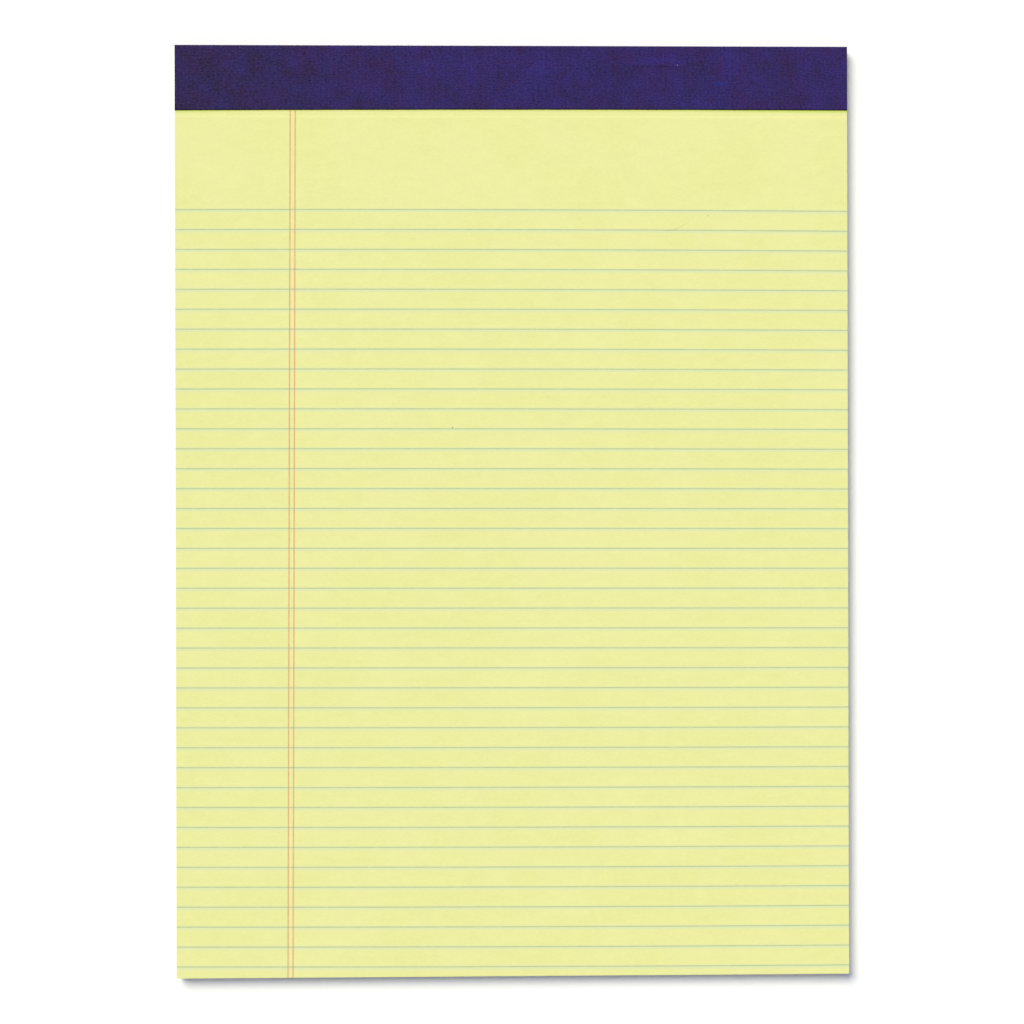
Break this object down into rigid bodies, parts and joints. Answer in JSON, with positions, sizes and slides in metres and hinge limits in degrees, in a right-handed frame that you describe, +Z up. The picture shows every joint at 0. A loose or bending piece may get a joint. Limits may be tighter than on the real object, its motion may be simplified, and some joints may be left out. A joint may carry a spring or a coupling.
{
  "type": "legal pad",
  "caption": "Letter-size ruled legal pad: a block of canary tear-off sheets on a chipboard back, wire-stitched and bound with folded tape at the head.",
  "frame": {"origin": "centre of the pad's footprint, on the surface that the pad lies on", "axes": "+X across the pad to the right, +Y towards the bound head, +Z up out of the first page"},
  "size_m": [0.216, 0.2986, 0.0063],
  "materials": {
    "canary_paper": "matte",
    "chipboard": "matte",
    "tape": "satin",
    "stitching_wire": "satin"
  },
  "bodies": {
    "root": {"sheets": "canary_paper", "backing_board": "chipboard", "binding_tape": "tape", "stitch_left": "stitching_wire", "stitch_right": "stitching_wire"}
  },
  "joints": []
}
